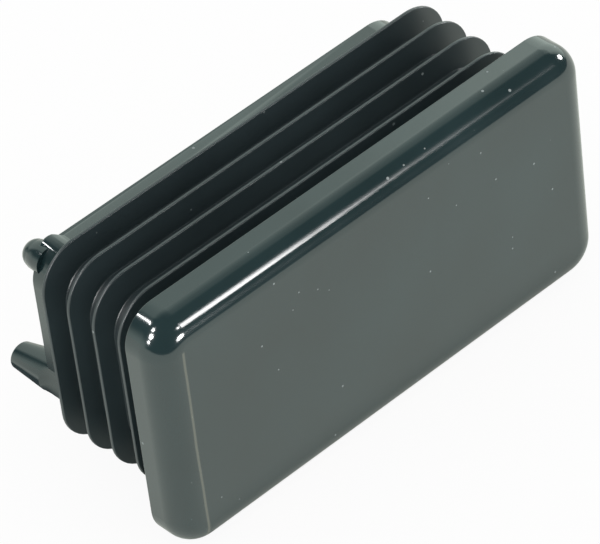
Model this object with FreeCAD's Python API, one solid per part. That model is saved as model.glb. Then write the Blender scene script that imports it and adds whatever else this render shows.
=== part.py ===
"""Ribbed end cap for a 60 x 30 mm rectangular tube, moulded in one piece.

Millimetres. X runs along the tube's long side, Z along its short side, and Y along
the tube: the outer face of the head looks towards -Y and the plug goes in towards +Y.
The origin lies on the tube's axis, in the plane where the head seats on the tube's end.
"""
import FreeCAD, Part
import os

# the tube that the cap closes
tube_inside_length = 56.0
tube_inside_height = 26.0
tube_wall = 2.0

# head, which covers the tube's end out to its outer faces
head_thickness = 5.0
head_corner_radius = 4.0
head_edge_radius = 3.0

# ribs around the plug, counted from the head; each one is a little larger than the last
rib_count = 4
first_rib_distance = 3.8
rib_pitch = 3.65
rib_end_clearance = 0.05
rib_side_clearance = 0.45
rib_growth = 0.2
rib_corner_radius = 5.0
rib_reach_ends = 2.1
rib_reach_sides = 2.9
rib_root_thickness = 0.9
rib_tip_thickness = 0.4
rib_root_depth = 0.5

# hollow body that carries the ribs, open at the rear
rim_distance = 4.75
body_corner_radius = 4.6
wall_thickness = 1.5
floor_thickness = 3.0

# posts in the corners of one end wall, placed by their distance from its outer faces; over the
# last post_foot before the rim they fill out the body's rounded corners, and past the rim they
# may swell beyond its faces by post_swell
post_foot = 3.1
post_swell = 0.9
lower_root_radius = 2.4
lower_root_inset = (1.59, 1.97)
lower_end_radius = 1.57
lower_end_inset = (1.26, 1.37)
lower_reach = 6.04
lower_rounding = 0.25
upper_root_radius = 1.68
upper_end_radius = 1.58
upper_inset = (1.92, 1.68)
upper_reach = 2.39
upper_rounding = 1.39
shoulder_radius = 1.43
shoulder_inset = (2.97, 1.35)
shoulder_reach = 1.0
shoulder_rounding = 0.4

# a rounding never takes more than this share of the wall or corner that it is cut from
rounding_limit = 0.9

# worked out from the sizes above
head_length = tube_inside_length + 2 * tube_wall
head_height = tube_inside_height + 2 * tube_wall
first_rib_length = tube_inside_length - 2 * rib_end_clearance
first_rib_height = tube_inside_height - 2 * rib_side_clearance
body_length = first_rib_length - 2 * rib_reach_ends
body_height = first_rib_height - 2 * rib_reach_sides
last_rib_distance = first_rib_distance + (rib_count - 1) * rib_pitch
rim_y = last_rib_distance + rim_distance
floor_y = floor_thickness - head_thickness


def rounded_outline(length, height, radius, y):
    """A rounded rectangle about the tube's axis, in the plane at y."""
    half_x = length / 2
    half_z = height / 2
    turn = 2 ** 0.5 / 2
    edges = []
    for sign_x, sign_z in ((1, 1), (-1, 1), (-1, -1), (1, -1)):
        centre = FreeCAD.Vector(sign_x * (half_x - radius), y, sign_z * (half_z - radius))
        on_end = centre + FreeCAD.Vector(sign_x * radius, 0, 0)
        on_side = centre + FreeCAD.Vector(0, 0, sign_z * radius)
        middle = centre + FreeCAD.Vector(sign_x * radius * turn, 0, sign_z * radius * turn)
        first, last = (on_end, on_side) if sign_x * sign_z > 0 else (on_side, on_end)
        if edges:
            edges.append(Part.makeLine(edges[-1].Vertexes[-1].Point, first))
        edges.append(Part.Arc(first, middle, last).toShape())
    edges.append(Part.makeLine(edges[-1].Vertexes[-1].Point, edges[0].Vertexes[0].Point))
    return Part.Wire(edges)


def rounded_block(length, height, radius, y_from, y_to):
    """A straight block with rounded corners along the tube."""
    face = Part.Face(rounded_outline(length, height, radius, y_from))
    return face.extrude(FreeCAD.Vector(0, y_to - y_from, 0))


def edges_at(shape, y):
    """The edges that lie in the plane at y."""
    found = []
    for edge in shape.Edges:
        box = edge.BoundBox
        if abs(box.YMin - y) < 1e-4 and abs(box.YMax - y) < 1e-4:
            found.append(edge)
    return found


def head():
    """The plate on the tube's end, its outer edge well rounded and its seat edge sharp."""
    plate = rounded_block(head_length, head_height, head_corner_radius, -head_thickness, 0)
    limit = rounding_limit * min(head_thickness, head_corner_radius)
    return plate.makeFillet(min(head_edge_radius, limit), edges_at(plate, -head_thickness))


def rib(index):
    """One rib: a thin lip all round the plug, tapered from its root to its tip."""
    y = first_rib_distance + index * rib_pitch
    length = first_rib_length + index * rib_growth
    height = first_rib_height + index * rib_growth
    root_length = body_length - 2 * rib_root_depth
    root_height = body_height - 2 * rib_root_depth
    root_corner = body_corner_radius - rib_root_depth
    root = rib_root_thickness / 2
    tip = rib_tip_thickness / 2
    sections = [
        rounded_outline(root_length, root_height, root_corner, y - root),
        rounded_outline(length, height, rib_corner_radius, y - tip),
        rounded_outline(length, height, rib_corner_radius, y + tip),
        rounded_outline(root_length, root_height, root_corner, y + root),
    ]
    return Part.makeLoft(sections, True, True)


def cavity():
    """The hollow of the plug, from the floor inside the head out through the rim."""
    length = body_length - 2 * wall_thickness
    height = body_height - 2 * wall_thickness
    radius = max(body_corner_radius - wall_thickness, wall_thickness / 2)
    return rounded_block(length, height, radius, floor_y, rim_y + wall_thickness)


def circle_at(inset, side, radius, y):
    """A circle placed by its inset from the outer end face and from the upper or lower side."""
    x = inset[0] - body_length / 2
    z = side * (body_height / 2 - inset[1])
    centre = FreeCAD.Vector(x, y, z)
    return Part.Wire(Part.makeCircle(radius, centre, FreeCAD.Vector(0, 1, 0)))


def post(side, root, end, reach, rounding):
    """A post from the floor past the rim; root and end are each (inset, radius)."""
    root_inset, root_radius = root
    end_inset, end_radius = end
    end_y = rim_y + reach
    sections = [
        circle_at(root_inset, side, root_radius, floor_y),
        circle_at(root_inset, side, root_radius, rim_y),
        circle_at(end_inset, side, end_radius, end_y),
    ]
    shape = Part.makeLoft(sections, True, True)
    limit = rounding_limit * min(end_radius, reach)
    return shape.makeFillet(min(rounding, limit), edges_at(shape, end_y))


def rectangle(growth, y):
    """The body's outline with sharp corners in the plane at y, larger all round by the growth."""
    half_x = body_length / 2 + growth
    half_z = body_height / 2 + growth
    signs = ((1, 1), (-1, 1), (-1, -1), (1, -1), (1, 1))
    return Part.makePolygon([FreeCAD.Vector(x * half_x, y, z * half_z) for x, z in signs])


def post_room():
    """Where posts may lie: in the plug's own outline, near the rim flush with its faces, past it swelling."""
    longest = max(lower_reach, upper_reach, shoulder_reach) + wall_thickness
    inside = rounded_block(body_length, body_height, body_corner_radius, floor_y, rim_y)
    corner = FreeCAD.Vector(-body_length / 2, rim_y - post_foot, -body_height / 2)
    flush = Part.makeBox(body_length, post_foot, body_height, corner)
    slope = Part.makeLoft([rectangle(0, rim_y), rectangle(post_swell, rim_y + post_swell)], True, True)
    wide = Part.Face(rectangle(post_swell, rim_y + post_swell))
    behind = wide.extrude(FreeCAD.Vector(0, longest, 0))
    return inside.fuse([flush, slope, behind])


def posts():
    """The long lower post, the short upper post, and the shoulder at the upper one's foot."""
    lower = post(-1, (lower_root_inset, lower_root_radius),
                 (lower_end_inset, lower_end_radius), lower_reach, lower_rounding)
    upper = post(1, (upper_inset, upper_root_radius),
                 (upper_inset, upper_end_radius), upper_reach, upper_rounding)
    shoulder = post(1, (shoulder_inset, shoulder_radius),
                    (shoulder_inset, shoulder_radius), shoulder_reach, shoulder_rounding)
    room = post_room()
    return [shape.common(room) for shape in (lower, upper, shoulder)]


def end_cap():
    """The whole moulding as one solid."""
    plug = rounded_block(body_length, body_height, body_corner_radius, floor_y, rim_y)
    ribs = [rib(index) for index in range(rib_count)]
    shell = head().fuse([plug] + ribs).cut(cavity())
    lower, upper, shoulder = posts()
    whole = shell.fuse(upper).fuse(shoulder).removeSplitter().fuse(lower)
    print("solids", len(whole.Solids), "valid", whole.isValid(), "volume", round(whole.Volume, 1))
    return whole.Solids[0]


os.makedirs("parts", exist_ok=True)
end_cap().exportStep("parts/end_cap.step")
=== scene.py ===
import math
import bpy
import bmesh
from mathutils import Matrix, Vector


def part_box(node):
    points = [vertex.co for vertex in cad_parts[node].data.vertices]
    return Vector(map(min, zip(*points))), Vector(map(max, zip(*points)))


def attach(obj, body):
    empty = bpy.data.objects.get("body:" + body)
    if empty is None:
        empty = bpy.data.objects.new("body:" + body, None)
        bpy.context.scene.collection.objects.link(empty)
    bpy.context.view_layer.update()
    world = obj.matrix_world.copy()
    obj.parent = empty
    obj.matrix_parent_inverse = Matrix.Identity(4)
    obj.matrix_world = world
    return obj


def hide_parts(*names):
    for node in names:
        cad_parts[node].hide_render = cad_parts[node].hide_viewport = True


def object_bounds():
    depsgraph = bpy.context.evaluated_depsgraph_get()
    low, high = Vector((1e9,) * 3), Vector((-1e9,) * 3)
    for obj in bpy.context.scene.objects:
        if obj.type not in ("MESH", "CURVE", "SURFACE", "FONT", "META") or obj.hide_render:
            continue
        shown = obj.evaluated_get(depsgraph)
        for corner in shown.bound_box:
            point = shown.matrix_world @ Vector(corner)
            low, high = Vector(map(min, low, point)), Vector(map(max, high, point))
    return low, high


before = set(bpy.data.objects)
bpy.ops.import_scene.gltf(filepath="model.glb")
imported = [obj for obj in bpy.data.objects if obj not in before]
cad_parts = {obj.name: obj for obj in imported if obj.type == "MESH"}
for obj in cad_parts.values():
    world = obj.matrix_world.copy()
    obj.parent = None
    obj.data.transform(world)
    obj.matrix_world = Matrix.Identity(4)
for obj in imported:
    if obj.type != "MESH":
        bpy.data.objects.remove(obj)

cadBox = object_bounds()
mm = 0.001
quarterTurn = math.pi / 2
print("stage: frame loaded")


# camera: a long lens that looks down on the cap from its front left
cameraValues = {
    "azimuth": -38.807,      # degrees from the front, negative towards the cap's left end
    "elevation": 40.988,
    "roll": -7.352,
    "distance": 517.8,       # from the middle of the seat plane, mm
    "asideRight": -5.572,    # how far the view's centre lies right of and above that middle, mm
    "asideUp": 0.726,
    "focalPixels": 5083.6,   # lens length in pixels of the 600 x 544 frame
    "frameWidth": 600,
    "sensorWidth": 36.0,
    "nearest": 0.01,         # the camera sees from here, metres
    "farthest": 100,
}


def viewAxes(azimuth, elevation, roll):
    # the right, up and backward directions of a view
    a, e, r = (math.radians(v) for v in (azimuth, elevation, roll))
    back = Vector((math.sin(a) * math.cos(e), -math.cos(a) * math.cos(e), math.sin(e)))
    right = Vector((math.cos(a), math.sin(a), 0))
    up = back.cross(right)
    turned = right * math.cos(r) + up * math.sin(r)
    return turned, up * math.cos(r) - right * math.sin(r), back


def aimed(axes, place):
    # the matrix of a camera or lamp with these axes at a place
    return Matrix([*zip(*axes, place), (0, 0, 0, 1)])


def inScene(name, data):
    # a new object for a mesh, camera or lamp, linked to the scene
    thing = bpy.data.objects.new(name, data)
    bpy.context.scene.collection.objects.link(thing)
    return thing


def makeCamera(values):
    right, up, back = viewAxes(values["azimuth"], values["elevation"], values["roll"])
    place = right * values["asideRight"] + up * values["asideUp"] + back * values["distance"]
    data = bpy.data.cameras.new("photoCamera")
    data.sensor_width = values["sensorWidth"]
    data.lens = values["focalPixels"] * values["sensorWidth"] / values["frameWidth"]
    data.clip_start = values["nearest"]
    data.clip_end = values["farthest"]
    camera = inScene("photoCamera", data)
    camera.matrix_world = aimed((right, up, back), [v * mm for v in place])
    bpy.context.scene.camera = camera


makeCamera(cameraValues)
print("stage: camera set")


# the moulding's sizes, mm; its overall size comes from the frame
capValues = {
    "headCorner": 4.0,
    "headEdge": 3.0,          # the well rounded front edge
    "headSteps": 20,
    "seatEdge": 0.12,         # the nearly sharp back edge
    "lipCount": 4,
    "firstLip": 3.8,          # from the seat to the middle of the first lip
    "lipPitch": 3.65,
    "lipLength": 55.9,
    "lipHeight": 25.1,
    "lipGrowth": 0.2,         # each lip is this much longer and higher than the last
    "lipCorner": 5.0,
    "lipTip": 0.4,
    "lipRoot": 0.8,
    "lipEdge": 0.12,
    "bodyLength": 51.7,
    "bodyHeight": 19.3,
    "bodyCorner": 4.0,
    "rim": 19.5,              # from the seat to the body's open end
    "wall": 1.5,
    "floor": -2.0,            # the bottom of the hollow, inside the head
    "floorEdge": 0.4,
    "smallEdge": 0.12,
    "edgeSteps": 4,
    "rootSteps": 2,
    "holdRow": 0.02,          # rows this close to an edge keep the flats flat
    "cornerSteps": 12,
    "sharpAngle": 40,         # degrees, above which an edge is shaded sharp
}


def ring(length, height, corner, along):
    # one ring of the skin: half length, distance along the tube, half height, corner radius
    return (length / 2, along, height / 2, corner)


def blend(a, b, share):
    return tuple(p + (q - p) * share for p, q in zip(a, b))


def capProfile(values):
    # the rings where the section turns, from the middle of the face to the middle of the
    # hollow's floor, each with the size and the steps of its rounding
    low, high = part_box("end_cap")
    length = (high.x - low.x) / mm
    height = (high.z - low.z) / mm
    face = low.y / mm
    corner = values["headCorner"]
    small = values["smallEdge"]
    few, more = values["rootSteps"], values["edgeSteps"]
    body = (values["bodyLength"], values["bodyHeight"], values["bodyCorner"])
    inner = [size - 2 * values["wall"] for size in body[:2]] + [body[2] - values["wall"]]
    rows = [
        (ring(length - height, 0, corner - height / 2, face), 0, 1),
        (ring(length, height, corner, face), values["headEdge"], values["headSteps"]),
        (ring(length, height, corner, 0), values["seatEdge"], more),
        (ring(*body, 0), small, few),
    ]
    for i in range(values["lipCount"]):
        along = values["firstLip"] + i * values["lipPitch"]
        grown = i * values["lipGrowth"]
        tip = (values["lipLength"] + grown, values["lipHeight"] + grown, values["lipCorner"])
        root, half = values["lipRoot"] / 2, values["lipTip"] / 2
        rows.append((ring(*body, along - root), small, few))
        rows.append((ring(*tip, along - half), values["lipEdge"], more))
        rows.append((ring(*tip, along + half), values["lipEdge"], more))
        rows.append((ring(*body, along + root), small, few))
    rows.append((ring(*body, values["rim"]), small, more))
    rows.append((ring(*inner, values["rim"]), small, more))
    rows.append((ring(*inner, values["floor"]), values["floorEdge"], more))
    middle = ring(inner[0] - inner[1], 0, inner[2] - inner[1] / 2, values["floor"])
    rows.append((middle, 0, 1))
    return rows


def roundedRows(profile, holdRow):
    # every ring of the skin: each turn of the section is an arc between two holding rows
    rows = [profile[0][0]]
    for k in range(1, len(profile) - 1):
        at, size, steps = profile[k]
        sides = []
        for other in (profile[k - 1][0], profile[k + 1][0]):
            reach = max(abs(q - p) for p, q in zip(at[:3], other[:3]))
            sides.append((blend(at, other, size / reach),
                          blend(at, other, (size + holdRow) / reach)))
        (start, holdStart), (end, holdEnd) = sides
        rows.append(holdStart)
        for step in range(steps + 1):
            turn = quarterTurn * step / steps
            c, s = math.cos(turn), math.sin(turn)
            rows.append(tuple(a + b - m + (m - b) * c + (m - a) * s
                              for a, b, m in zip(start, end, at)))
        rows.append(holdEnd)
    rows.append(profile[-1][0])
    return rows


def profileObject(name, rows):
    # the rings as a line of points at (half length, along, half height), the corner an attribute
    mesh = bpy.data.meshes.new(name)
    points = [tuple(v * mm for v in row[:3]) for row in rows]
    edges = [(i, i + 1) for i in range(len(rows) - 1)]
    mesh.from_pydata(points, edges, [])
    corners = mesh.attributes.new("corner", "FLOAT", "POINT")
    corners.data.foreach_set("value", [max(row[3], 0) * mm for row in rows])
    return inScene(name, mesh)


def feed(tree, socket, value):
    # a socket gets a link from another socket, or else a plain value
    if isinstance(value, bpy.types.NodeSocket):
        tree.links.new(value, socket)
    else:
        socket.default_value = value


def addNode(tree, kind, settings=None, **inputs):
    # a node with its settings and its inputs, which are sockets or plain values
    node = tree.nodes.new(kind)
    for key, value in (settings or {}).items():
        setattr(node, key, value)
    for key, value in inputs.items():
        feed(tree, node.inputs[key.replace("_", " ")], value)
    return node


def calc(tree, operation, first, second=0.0, third=0.0):
    # one step of arithmetic on sockets or numbers
    node = tree.nodes.new("ShaderNodeMath")
    node.operation = operation
    for socket, value in zip(node.inputs, (first, second, third)):
        feed(tree, socket, value)
    return node.outputs[0]


def vectorCalc(tree, operation, first, second=(0, 0, 0)):
    # one step of arithmetic on vectors; a dot product comes out as a number
    node = tree.nodes.new("ShaderNodeVectorMath")
    node.operation = operation
    feed(tree, node.inputs[0], first)
    feed(tree, node.inputs[1], second)
    return node.outputs["Value" if operation == "DOT_PRODUCT" else "Vector"]


def smooth(tree, value, span, result):
    # a soft step of a socket's value over the span, from one result to the other
    node = addNode(tree, "ShaderNodeMapRange", {"interpolation_type": "SMOOTHSTEP"}, Value=value,
                   From_Min=span[0], From_Max=span[1], To_Min=result[0], To_Max=result[1])
    return node.outputs[0]


def mixColor(tree, share, first, second):
    # two colours, sockets or plain, mixed by a share
    node = tree.nodes.new("ShaderNodeMix")
    node.data_type = "RGBA"
    for index, value in ((0, share), (6, first), (7, second)):
        feed(tree, node.inputs[index], value)
    return node.outputs[2]


def skinTree():
    # Geometry Nodes: a closed skin of rounded rectangles along a profile line
    tree = bpy.data.node_groups.new("roundedSkin", "GeometryNodeTree")
    tree.is_modifier = True
    sockets = tree.interface
    inputs = {"Geometry": "Geometry", "Corner Steps": "Int", "Hold Distance": "Float",
              "Material": "Material"}
    for name, kind in inputs.items():
        sockets.new_socket(name, in_out="INPUT", socket_type="NodeSocket" + kind)
    sockets.new_socket("Geometry", in_out="OUTPUT", socket_type="NodeSocketGeometry")
    given = tree.nodes.new("NodeGroupInput").outputs
    line = given["Geometry"]
    steps = given["Corner Steps"]
    half = 0.5
    nudge = 0.001             # lifts a whole number a little before it is rounded down
    mergeDistance = 2e-7      # metres: closes the seam and the two end rows

    # a grid with a row for each ring; each corner has its arc's points and one beyond each end
    count = addNode(tree, "GeometryNodeAttributeDomainSize", Geometry=line).outputs["Point Count"]
    perCorner = calc(tree, "ADD", steps, 3)
    around = calc(tree, "MULTIPLY", perCorner, 4)
    columns = calc(tree, "ADD", around, 1)
    grid = addNode(tree, "GeometryNodeMeshGrid", Vertices_X=count, Vertices_Y=columns)
    index = tree.nodes.new("GeometryNodeInputIndex").outputs[0]
    row = calc(tree, "FLOOR", calc(tree, "DIVIDE", calc(tree, "ADD", index, half), columns))
    place = calc(tree, "SUBTRACT", index, calc(tree, "MULTIPLY", row, columns))
    place = calc(tree, "MODULO", calc(tree, "ADD", place, nudge), around)
    quarter = calc(tree, "FLOOR", calc(tree, "DIVIDE", place, perCorner))
    local = calc(tree, "SUBTRACT", place, calc(tree, "MULTIPLY", quarter, perCorner))
    local = calc(tree, "FLOOR", local)

    # the ring's sizes, read from the profile
    position = tree.nodes.new("GeometryNodeInputPosition").outputs[0]
    sizes = addNode(tree, "GeometryNodeSampleIndex", {"data_type": "FLOAT_VECTOR"},
                    Geometry=line, Value=position, Index=row).outputs[0]
    named = addNode(tree, "GeometryNodeInputNamedAttribute", {"data_type": "FLOAT"}, Name="corner")
    corner = addNode(tree, "GeometryNodeSampleIndex", {"data_type": "FLOAT"},
                     Geometry=line, Value=named.outputs[0], Index=row).outputs[0]
    parts = addNode(tree, "ShaderNodeSeparateXYZ", Vector=sizes).outputs

    # the point's angle on its corner's arc, and whether it holds the flat before or after it
    share = calc(tree, "DIVIDE", calc(tree, "SUBTRACT", local, 1), steps)
    share = calc(tree, "MINIMUM", calc(tree, "MAXIMUM", share, 0), 1)
    angle = calc(tree, "MULTIPLY", calc(tree, "ADD", quarter, share), quarterTurn)
    before = calc(tree, "COMPARE", local, 0, half)
    after = calc(tree, "COMPARE", local, calc(tree, "ADD", steps, 2), half)
    slip = calc(tree, "SUBTRACT", after, before)
    middle = calc(tree, "MULTIPLY", calc(tree, "ADD", quarter, half), quarterTurn)
    waves = {"COSINE": calc(tree, "COSINE", angle), "SINE": calc(tree, "SINE", angle)}

    def outward(size, wave, slope):
        # half size less the corner, towards this corner, then out along the arc and off its end
        side = calc(tree, "SIGN", calc(tree, wave, middle))
        straight = calc(tree, "SUBTRACT", size, corner)
        core = calc(tree, "MULTIPLY", straight, side)
        arc = calc(tree, "MULTIPLY", corner, waves[wave])
        away = calc(tree, "MINIMUM", straight, given["Hold Distance"])
        away = calc(tree, "MULTIPLY", calc(tree, "MULTIPLY", slip, away), slope)
        return calc(tree, "ADD", calc(tree, "ADD", core, arc), away)

    x = outward(parts["X"], "COSINE", calc(tree, "MULTIPLY", waves["SINE"], -1))
    z = outward(parts["Z"], "SINE", waves["COSINE"])
    spot = addNode(tree, "ShaderNodeCombineXYZ", X=x, Y=parts["Y"], Z=z).outputs[0]
    skin = grid.outputs["Mesh"]
    for kind, values in (("GeometryNodeSetPosition", {"Position": spot}),
                         ("GeometryNodeMergeByDistance", {"Distance": mergeDistance}),
                         ("GeometryNodeRealizeInstances", {}),
                         ("GeometryNodeSetMaterial", {"Material": given["Material"]})):
        skin = addNode(tree, kind, Geometry=skin, **values).outputs[0]
    tree.links.new(skin, tree.nodes.new("NodeGroupOutput").inputs[0])
    return tree


def setInput(modifier, name, value):
    # sets a Geometry Nodes input by the identifier of its socket
    for item in modifier.node_group.interface.items_tree:
        if item.item_type == "SOCKET" and item.in_out == "INPUT" and item.name == name:
            modifier[item.identifier] = value


def bakedMesh(thing, name):
    # the evaluated mesh of an object with modifiers, as a plain mesh
    graph = bpy.context.evaluated_depsgraph_get()
    graph.update()
    mesh = bpy.data.meshes.new_from_object(thing.evaluated_get(graph))
    mesh.name = name
    return mesh


def makeSkin(values, material):
    # head, lips and hollow body in one skin
    profile = profileObject("capProfile", roundedRows(capProfile(values), values["holdRow"]))
    nodes = profile.modifiers.new("skin", "NODES")
    nodes.node_group = skinTree()
    setInput(nodes, "Corner Steps", values["cornerSteps"])
    setInput(nodes, "Hold Distance", values["holdRow"] * mm)
    setInput(nodes, "Material", material)
    mesh = bakedMesh(profile, "capSkin")
    bpy.data.objects.remove(profile)
    return inScene("capSkin", mesh)


def loftObject(name, loops, material):
    # a closed shape through loops of the same number of points, with a face over each end
    work = bmesh.new()
    rows = [[work.verts.new(place) for place in loop] for loop in loops]
    for a, b in zip(rows, rows[1:]):
        for k in range(len(a)):
            n = (k + 1) % len(a)
            work.faces.new((a[k], a[n], b[n], b[k]))
    work.faces.new(rows[0])
    work.faces.new(rows[-1])
    bmesh.ops.recalc_face_normals(work, faces=work.faces)
    mesh = bpy.data.meshes.new(name)
    work.to_mesh(mesh)
    work.free()
    mesh.materials.append(material)
    return inScene(name, mesh)


# the posts at the left end, mm: each has (x, z, radius) at the rim and at its end, its reach
# past the rim, the rounding of its end, and perhaps a foot of its own
postValues = {
    "start": -1.0,            # along the tube, just above the hollow's floor
    "foot": 3.1,              # how far before the rim a post fills out the body's rounded corner
    "swell": 0.9,             # how far past the body's faces a post may swell behind the rim
    "sink": 0.01,             # how deep a post's flats lie in the body's faces
    "steps": 48,
    "edgeSteps": 8,
    "lower": {"root": (-24.26, -7.68, 2.4), "end": (-24.59, -8.28, 1.57),
              "reach": 6.04, "edge": 0.25},
    "upper": {"root": (-23.93, 7.97, 1.68), "end": (-23.93, 7.97, 1.58),
              "reach": 2.39, "edge": 1.39, "foot": 0.8},
}


def postRings(post, values, rim):
    # every ring of a post as (x, y, z, radius, may fill out the body's corner)
    rootX, rootZ, rootRadius = post["root"]
    endX, endZ, endRadius = post["end"]
    tip = rim + post["reach"]
    edge = post["edge"]
    foot = rim - post.get("foot", values["foot"])
    swollen = rim + values["swell"]
    rings = [
        (rootX, values["start"], rootZ, rootRadius, False),
        (rootX, foot - values["sink"], rootZ, rootRadius, False),
        (rootX, foot, rootZ, rootRadius, True),
        (rootX, rim, rootZ, rootRadius, True),
    ]
    if tip - edge > swollen:
        x, z, radius = blend(post["root"], post["end"], values["swell"] / post["reach"])
        rings.append((x, swollen, z, radius, True))
    for step in range(values["edgeSteps"] + 1):
        turn = quarterTurn * step / values["edgeSteps"]
        along = tip - edge * (1 - math.sin(turn))
        rings.append((endX, along, endZ, endRadius - edge * (1 - math.cos(turn)), True))
    return rings


def heldInBody(x, y, z, fillsCorner, values, body):
    # the point in metres, moved in from outside the body's faces or, before the foot, its corner
    past = min(max(y - body["rim"], 0), values["swell"]) - values["sink"]
    halfX = body["bodyLength"] / 2 + past
    halfZ = body["bodyHeight"] / 2 + past
    x = min(max(x, -halfX), halfX)
    z = min(max(z, -halfZ), halfZ)
    if not fillsCorner:
        corner = body["bodyCorner"]
        centreX = math.copysign(halfX - corner, x)
        centreZ = math.copysign(halfZ - corner, z)
        outX, outZ = x - centreX, z - centreZ
        reach = math.hypot(outX, outZ)
        if outX * centreX > 0 and outZ * centreZ > 0 and reach > corner:
            x = centreX + outX * corner / reach
            z = centreZ + outZ * corner / reach
    return (x * mm, y * mm, z * mm)


def postObject(name, values, body, material):
    # a round post from inside the wall out past the rim, with a rounded end
    loops = []
    for x, y, z, radius, fillsCorner in postRings(values[name], values, body["rim"]):
        loop = []
        for k in range(values["steps"]):
            turn = 2 * math.pi * k / values["steps"]
            place = (x + radius * math.cos(turn), y, z + radius * math.sin(turn))
            loop.append(heldInBody(*place, fillsCorner, values, body))
        loops.append(loop)
    return loftObject(name, loops, material)


# the rise of the rim round its upper left corner, mm
riseValues = {
    "depth": 2.6,             # how far before the rim it begins to lean out of the wall
    "edge": 0.3,
    "sink": 0.01,             # how deep it lies in the wall's faces
    "steps": 48,
    "edgeSteps": 5,
    # distance along the corner's arc from its top, height above the rim, lean out of the wall
    "shape": (
        (-0.5, -0.4, 0.0), (-0.1, 0.0, 0.1), (0.24, 0.15, 0.33), (0.49, 0.3, 0.48),
        (0.9, 0.35, 0.62), (1.26, 0.35, 0.7), (1.68, 0.35, 0.66), (2.3, 0.3, 0.48),
        (2.93, 0.15, 0.25), (3.42, 0.02, 0.1), (3.84, -0.25, 0.0), (4.3, -0.4, 0.0),
    ),
}


def riseShape(values, reach):
    # height above the rim and lean out of the wall at a distance along the corner's arc
    shape = values["shape"]
    for low, high in zip(shape, shape[1:]):
        if reach <= high[0]:
            share = (reach - low[0]) / (high[0] - low[0])
            return blend(low[1:], high[1:], max(share, 0))
    return shape[-1][1:]


def riseSection(values, wall, height, lean):
    # one section of the rise as (depth into the wall, height above the rim), outer face first
    edge = values["edge"]
    steps = values["edgeSteps"]
    outer = values["sink"] + edge - lean
    inner = wall - values["sink"] - edge
    points = [(values["sink"], -values["depth"])]
    for centre, first in ((outer, math.pi), (inner, quarterTurn)):
        for step in range(steps + 1):
            turn = first - quarterTurn * step / steps
            points.append((centre + edge * math.cos(turn), height - edge + edge * math.sin(turn)))
    points.append((wall - values["sink"], -values["depth"]))
    return points


def riseObject(name, values, body, material):
    # the raised piece of the rim, swept from the top round the corner and down the end wall
    corner = body["bodyCorner"]
    centreX = corner - body["bodyLength"] / 2
    centreZ = body["bodyHeight"] / 2 - corner
    first, last = values["shape"][0][0], values["shape"][-1][0]
    loops = []
    for step in range(values["steps"] + 1):
        reach = first + (last - first) * step / values["steps"]
        turn = quarterTurn + max(reach / corner, 0)
        aside = -min(reach, 0)
        outX, outZ = math.cos(turn), math.sin(turn)
        loop = []
        for depth, high in riseSection(values, body["wall"], *riseShape(values, reach)):
            x = centreX + aside + (corner - depth) * outX
            z = centreZ + (corner - depth) * outZ
            loop.append((x * mm, (body["rim"] + high) * mm, z * mm))
        loops.append(loop)
    return loftObject(name, loops, material)


def joined(base, others, name):
    # the base with the others united to it
    for other in others:
        union = base.modifiers.new(other.name, "BOOLEAN")
        union.operation = "UNION"
        union.solver = "MANIFOLD"
        union.object = other
    mesh = bakedMesh(base, name)
    for thing in [base] + others:
        bpy.data.objects.remove(thing)
    return inScene(name, mesh)


# black moulded plastic, glossy on the head and the body, duller on the lips; metres
plasticValues = {
    "color": (0.0155, 0.0345, 0.0375, 1),
    "lipColor": (0.027, 0.044, 0.049, 1),
    "roughness": 0.11,
    "lipRoughness": 0.4,
    "ior": 1.72,
    "lipIor": 1.62,
    "lipsFrom": (0.0012, 0.0022),     # the duller finish begins and ends between these
    "lipsTo": (0.01505, 0.0153),
    "cloudScale": 70,         # clouds of slightly paler, duller skin, about 14 mm apart
    "cloudDetail": 4.0,
    "cloudMiddle": 0.5,
    "cloudColor": 0.88,
    "cloudRoughness": 0.12,
    "grainScale": 1600,       # fine unevenness of the moulded skin
    "grainDetail": 2.0,
    "grainDepth": 0.0000012,
    "waveScale": 160,         # slow waves that bend the reflections a little
    "waveDetail": 1.0,
    "waveDepth": 0.000012,
    "dustScale": 520,         # specks of dust, in cells of about 2 mm
    "dustShare": 0.5,
    "dustSize": 0.045,
    "dustColor": (0.24, 0.28, 0.28, 1),
    "dustRoughness": 0.6,
    "highlightAt": -0.0268,        # where a painted highlight runs down the face as a thin paler line, near its left edge
    "highlightBend": 0.0006,       # how far the clouds bend it
    "highlightEdge": (0.00006, 0.00024),   # its half width
    "highlightTop": (0.0112, 0.0116),      # its upper end
    "highlightBack": -0.004,       # how far back along the tube it goes
    # the colour of the painted highlight line
    "highlightColor": (0.12, 0.132, 0.11, 1),
}


def noise(tree, place, scale, detail):
    node = addNode(tree, "ShaderNodeTexNoise", Vector=place, Scale=scale, Detail=detail)
    return node.outputs["Fac"]


def dustMask(tree, place, values):
    # round specks in a share of the cells
    cells = addNode(tree, "ShaderNodeTexVoronoi", Vector=place, Scale=values["dustScale"],
                    Randomness=1.0)
    chance = addNode(tree, "ShaderNodeSeparateColor", Color=cells.outputs["Color"]).outputs
    chosen = calc(tree, "LESS_THAN", chance["Red"], values["dustShare"])
    size = calc(tree, "MULTIPLY_ADD", chance["Green"], values["dustSize"], values["dustSize"])
    speck = calc(tree, "LESS_THAN", cells.outputs["Distance"], size)
    return calc(tree, "MULTIPLY", chosen, speck)


def paintedHighlightMask(tree, parts, clouds, values):
    # a painted highlight: the thin paler line on the face, where its left rounding would catch the
    # light
    bend = calc(tree, "MULTIPLY_ADD", clouds, values["highlightBend"], values["highlightAt"])
    fromHighlight = calc(tree, "ABSOLUTE", calc(tree, "SUBTRACT", parts["X"], bend))
    line = calc(tree, "MULTIPLY",
                smooth(tree, fromHighlight, values["highlightEdge"], (1, 0)),
                smooth(tree, parts["Z"], values["highlightTop"], (1, 0)))
    return calc(tree, "MULTIPLY", line, calc(tree, "LESS_THAN", parts["Y"], values["highlightBack"]))


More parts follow.
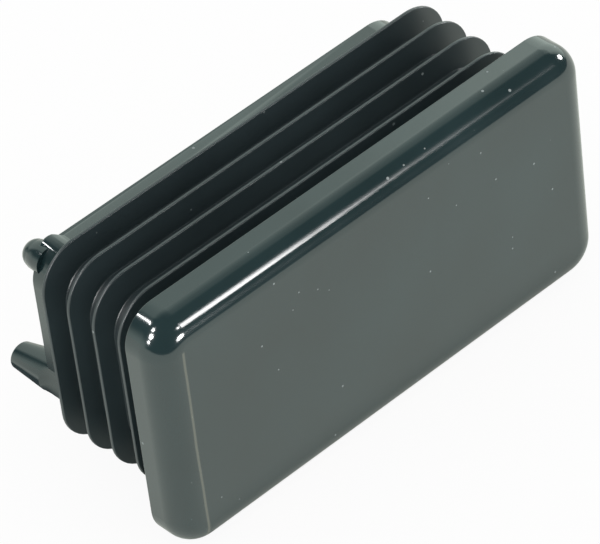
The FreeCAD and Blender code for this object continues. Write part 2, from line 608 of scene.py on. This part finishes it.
def plasticMaterial(values):
    material = bpy.data.materials.new("blackPlastic")
    material.use_nodes = True
    tree = material.node_tree
    shader = tree.nodes["Principled BSDF"]
    place = tree.nodes.new("ShaderNodeTexCoord").outputs["Object"]
    parts = addNode(tree, "ShaderNodeSeparateXYZ", Vector=place).outputs
    onLips = calc(tree, "MULTIPLY",
                  smooth(tree, parts["Y"], values["lipsFrom"], (0, 1)),
                  smooth(tree, parts["Y"], values["lipsTo"], (1, 0)))
    clouds = noise(tree, place, values["cloudScale"], values["cloudDetail"])
    clouds = calc(tree, "SUBTRACT", clouds, values["cloudMiddle"])
    dust = dustMask(tree, place, values)

    color = mixColor(tree, onLips, values["color"], values["lipColor"])
    shade = calc(tree, "MULTIPLY_ADD", clouds, values["cloudColor"], 1)
    tinted = addNode(tree, "ShaderNodeVectorMath", {"operation": "SCALE"},
                     Vector=color, Scale=shade).outputs["Vector"]
    color = mixColor(tree, dust, tinted, values["dustColor"])
    # the painted highlight line on the face
    color = mixColor(tree, paintedHighlightMask(tree, parts, clouds, values), color, values["highlightColor"])
    tree.links.new(color, shader.inputs["Base Color"])

    gap = values["lipRoughness"] - values["roughness"]
    roughness = calc(tree, "MULTIPLY_ADD", onLips, gap, values["roughness"])
    roughness = calc(tree, "MULTIPLY_ADD", clouds, values["cloudRoughness"], roughness)
    dusty = calc(tree, "MULTIPLY", dust, values["dustRoughness"])
    tree.links.new(calc(tree, "MAXIMUM", roughness, dusty), shader.inputs["Roughness"])
    ior = calc(tree, "MULTIPLY_ADD", onLips, values["lipIor"] - values["ior"], values["ior"])
    tree.links.new(ior, shader.inputs["IOR"])

    wave = noise(tree, place, values["waveScale"], values["waveDetail"])
    grain = noise(tree, place, values["grainScale"], values["grainDetail"])
    height = calc(tree, "MULTIPLY", wave, values["waveDepth"])
    height = calc(tree, "MULTIPLY_ADD", grain, values["grainDepth"], height)
    bump = addNode(tree, "ShaderNodeBump", Height=height, Distance=1.0, Strength=1.0)
    tree.links.new(bump.outputs["Normal"], shader.inputs["Normal"])
    return material


plastic = plasticMaterial(plasticValues)
skin = makeSkin(capValues, plastic)
additions = [riseObject("cornerRise", riseValues, capValues, plastic)]
for postName in ("lower", "upper"):
    additions.append(postObject(postName, postValues, capValues, plastic))
cap = joined(skin, additions, "capMoulding")
cap.data.polygons.foreach_set("use_smooth", [True] * len(cap.data.polygons))
cap.data.set_sharp_from_angle(angle=math.radians(capValues["sharpAngle"]))
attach(cap, "root")
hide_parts("end_cap")
print("stage: cap moulded,", len(cap.data.polygons), "faces")


# floor and light; metres
studioValues = {
    "floorSize": 6.0,
    "floorColor": (0.9, 0.9, 0.89, 1),
    "floorInGloss": (0.95, 1, 0.91, 1),  # the same paper as glossy surfaces show it
    "floorRoughness": 0.9,
    "floorWhite": 0.93,       # share of plain white in what the camera sees of the floor
    "floorGlow": 0.9,         # share of its own light in what glossy surfaces see of it
    "glowFront": (0.004, 0.010),      # where that light begins, in front of the seat
    "glowSide": (0.027, 0.034),       # and left of the middle, clear of the cap's own shade
    "paperFront": (0.08, 0.10),       # how far in front the paper ends in glossy surfaces
    "postShade": (-0.026, 0.029),     # middle of the shade under the lower post
    "postShadeEdge": (0.005, 0.010),
    "ambient": 1.0,           # light from all round, for matt surfaces
    "darkRoom": 0.08,         # what glossy surfaces see above the horizon
    "wallColor": (0.88, 1.0, 0.91, 1),
    "lampDistance": 1.0,
}
white = (1, 1, 1, 1)

# pale walls that glossy surfaces see: azimuth of the middle, cosines between which the wall ends
# sideways, sines of the elevations between which it ends above, radiance
wallValues = {
    "behind": (141, (0.5, 0.74), (0.70, 1.0), 0.9),
    "right": (110, (0.855, 0.89), (0.66, 0.73), 0.85),
    "left": (-130, (0.8, 0.96), (0.05, 0.5), 0.9),
}

# each lamp: azimuth and elevation in degrees, width and height in degrees, radiance
stripValues = {
    "mainStart": (29.8, 33, 2.4, 18, 24.0),
    "mainStrip": (32.4, 33, 2.8, 10, 7.5),
    "mainNext": (34.3, 33, 1.0, 10, 0.65),
    "mainMiddle": (35.2, 33, 0.8, 12, 0.4),
    "mainTail": (36.3, 33, 1.4, 14, 0.5),
    "mainEnd": (37.4, 33, 0.8, 20, 0.8),
    "leftStreak": (-146, 48, 9, 4, 34.0),
}
dotValues = {
    "cornerDot": (19.5, 35, 6, 6, 34.0),
    "lowFront": (13, 4, 17, 13, 50.0),
    "leftDotHigh": (-102, 52, 10, 9, 40.0),
    "leftDot": (-93, 35, 14, 13, 50.0),
    "leftDotLow": (-94, 19, 9, 8, 36.0),
    "rightSpot": (74, 18, 13, 13, 36.0),
}
shapeAreas = {"RECTANGLE": 1, "ELLIPSE": math.pi / 4}  # against the rectangle round the lamp


def makeLamp(name, shape, sizes, distance):
    # a flat lamp that faces the cap and that only glossy surfaces see; its size is an angle
    azimuth, elevation, width, height, radiance = sizes
    axes = viewAxes(azimuth, elevation, 0)
    data = bpy.data.lights.new(name, "AREA")
    data.shape = shape
    data.size = 2 * distance * math.tan(math.radians(width) / 2)
    data.size_y = 2 * distance * math.tan(math.radians(height) / 2)
    data.energy = radiance * math.pi * data.size * data.size_y * shapeAreas[shape]
    lamp = inScene(name, data)
    lamp.visible_diffuse = False
    lamp.matrix_world = aimed(axes, [v * distance for v in axes[2]])


def floorMaterial(values):
    material = bpy.data.materials.new("floorPaper")
    material.use_nodes = True
    tree = material.node_tree
    shader = tree.nodes["Principled BSDF"]
    shader.inputs["Roughness"].default_value = values["floorRoughness"]
    shader.inputs["Specular IOR Level"].default_value = 0.0
    path = tree.nodes.new("ShaderNodeLightPath").outputs
    inGloss = path["Is Glossy Ray"]
    paper = mixColor(tree, inGloss, values["floorColor"], values["floorInGloss"])
    tree.links.new(paper, shader.inputs["Base Color"])
    place = tree.nodes.new("ShaderNodeTexCoord").outputs["Object"]
    place = addNode(tree, "ShaderNodeSeparateXYZ", Vector=place).outputs
    toFront = calc(tree, "MULTIPLY", place["Y"], -1)
    toLeft = calc(tree, "MULTIPLY", place["X"], -1)

    # in glossy surfaces: its own light, clear of the cap's shade
    front = smooth(tree, toFront, values["glowFront"], (0, 1))
    side = smooth(tree, toLeft, values["glowSide"], (0, 1))
    clear = calc(tree, "MULTIPLY", calc(tree, "MAXIMUM", front, side), values["floorGlow"])
    glowing = calc(tree, "MULTIPLY", inGloss, clear)

    # in glossy surfaces: dark past the paper's front end and under the lower post
    past = smooth(tree, toFront, values["paperFront"], (0, 1))
    shadeX, shadeY = values["postShade"]
    aside = calc(tree, "POWER", calc(tree, "SUBTRACT", place["X"], shadeX), 2)
    along = calc(tree, "POWER", calc(tree, "SUBTRACT", place["Y"], shadeY), 2)
    away = calc(tree, "SQRT", calc(tree, "ADD", aside, along))
    shade = smooth(tree, away, values["postShadeEdge"], (1, 0))
    dark = calc(tree, "MULTIPLY", calc(tree, "MAXIMUM", past, shade), inGloss)

    # to the camera: nearly white, with the cap's shadow in the rest
    seen = calc(tree, "MULTIPLY", path["Is Camera Ray"], values["floorWhite"])
    surface = shader.outputs[0]
    layers = (
        (glowing, values["floorInGloss"], 1.0),
        (dark, white, values["darkRoom"]),
        (seen, white, 1.0),
    )
    for share, color, level in layers:
        glow = addNode(tree, "ShaderNodeEmission", Color=color, Strength=level)
        mix = tree.nodes.new("ShaderNodeMixShader")
        for socket, source in zip(mix.inputs, (share, surface, glow.outputs[0])):
            tree.links.new(source, socket)
        surface = mix.outputs[0]
    tree.links.new(surface, tree.nodes["Material Output"].inputs["Surface"])
    return material


def makeFloor(values):
    half = values["floorSize"] / 2
    low = cadBox[0].z
    corners = [(-half, -half, low), (half, -half, low), (half, half, low), (-half, half, low)]
    mesh = bpy.data.meshes.new("floor")
    mesh.from_pydata(corners, [], [(0, 1, 2, 3)])
    mesh.materials.append(floorMaterial(values))
    floor = inScene("floor", mesh)


def makeWorld(values, walls):
    world = bpy.data.worlds.new("studio")
    bpy.context.scene.world = world
    world.use_nodes = True
    tree = world.node_tree
    ground = tree.nodes["Background"]
    path = tree.nodes.new("ShaderNodeLightPath").outputs
    inGloss = path["Is Glossy Ray"]
    direction = tree.nodes.new("ShaderNodeTexCoord").outputs["Generated"]
    height = addNode(tree, "ShaderNodeSeparateXYZ", Vector=direction).outputs["Z"]
    flat = vectorCalc(tree, "MULTIPLY", direction, (1, 1, 0))
    flat = vectorCalc(tree, "NORMALIZE", flat)
    glossy = values["darkRoom"]
    for azimuth, edge, top, radiance in walls.values():
        turn = math.radians(azimuth)
        wall = (math.sin(turn), -math.cos(turn), 0)
        inside = smooth(tree, vectorCalc(tree, "DOT_PRODUCT", flat, wall), edge, (0, radiance))
        below = smooth(tree, height, top, (1, 0))
        glossy = calc(tree, "ADD", glossy, calc(tree, "MULTIPLY", inside, below))
    matt = calc(tree, "MAXIMUM", path["Is Camera Ray"], values["ambient"])
    level = calc(tree, "MULTIPLY_ADD", inGloss, calc(tree, "SUBTRACT", glossy, matt), matt)
    color = mixColor(tree, inGloss, white, values["wallColor"])
    tree.links.new(color, ground.inputs["Color"])
    tree.links.new(level, ground.inputs["Strength"])


makeFloor(studioValues)
makeWorld(studioValues, wallValues)
for lampShape, lamps in (("RECTANGLE", stripValues), ("ELLIPSE", dotValues)):
    for lampName, lampSizes in lamps.items():
        makeLamp(lampName, lampShape, lampSizes, studioValues["lampDistance"])
bpy.context.scene.view_settings.view_transform = "Standard"
print("stage: studio lit")
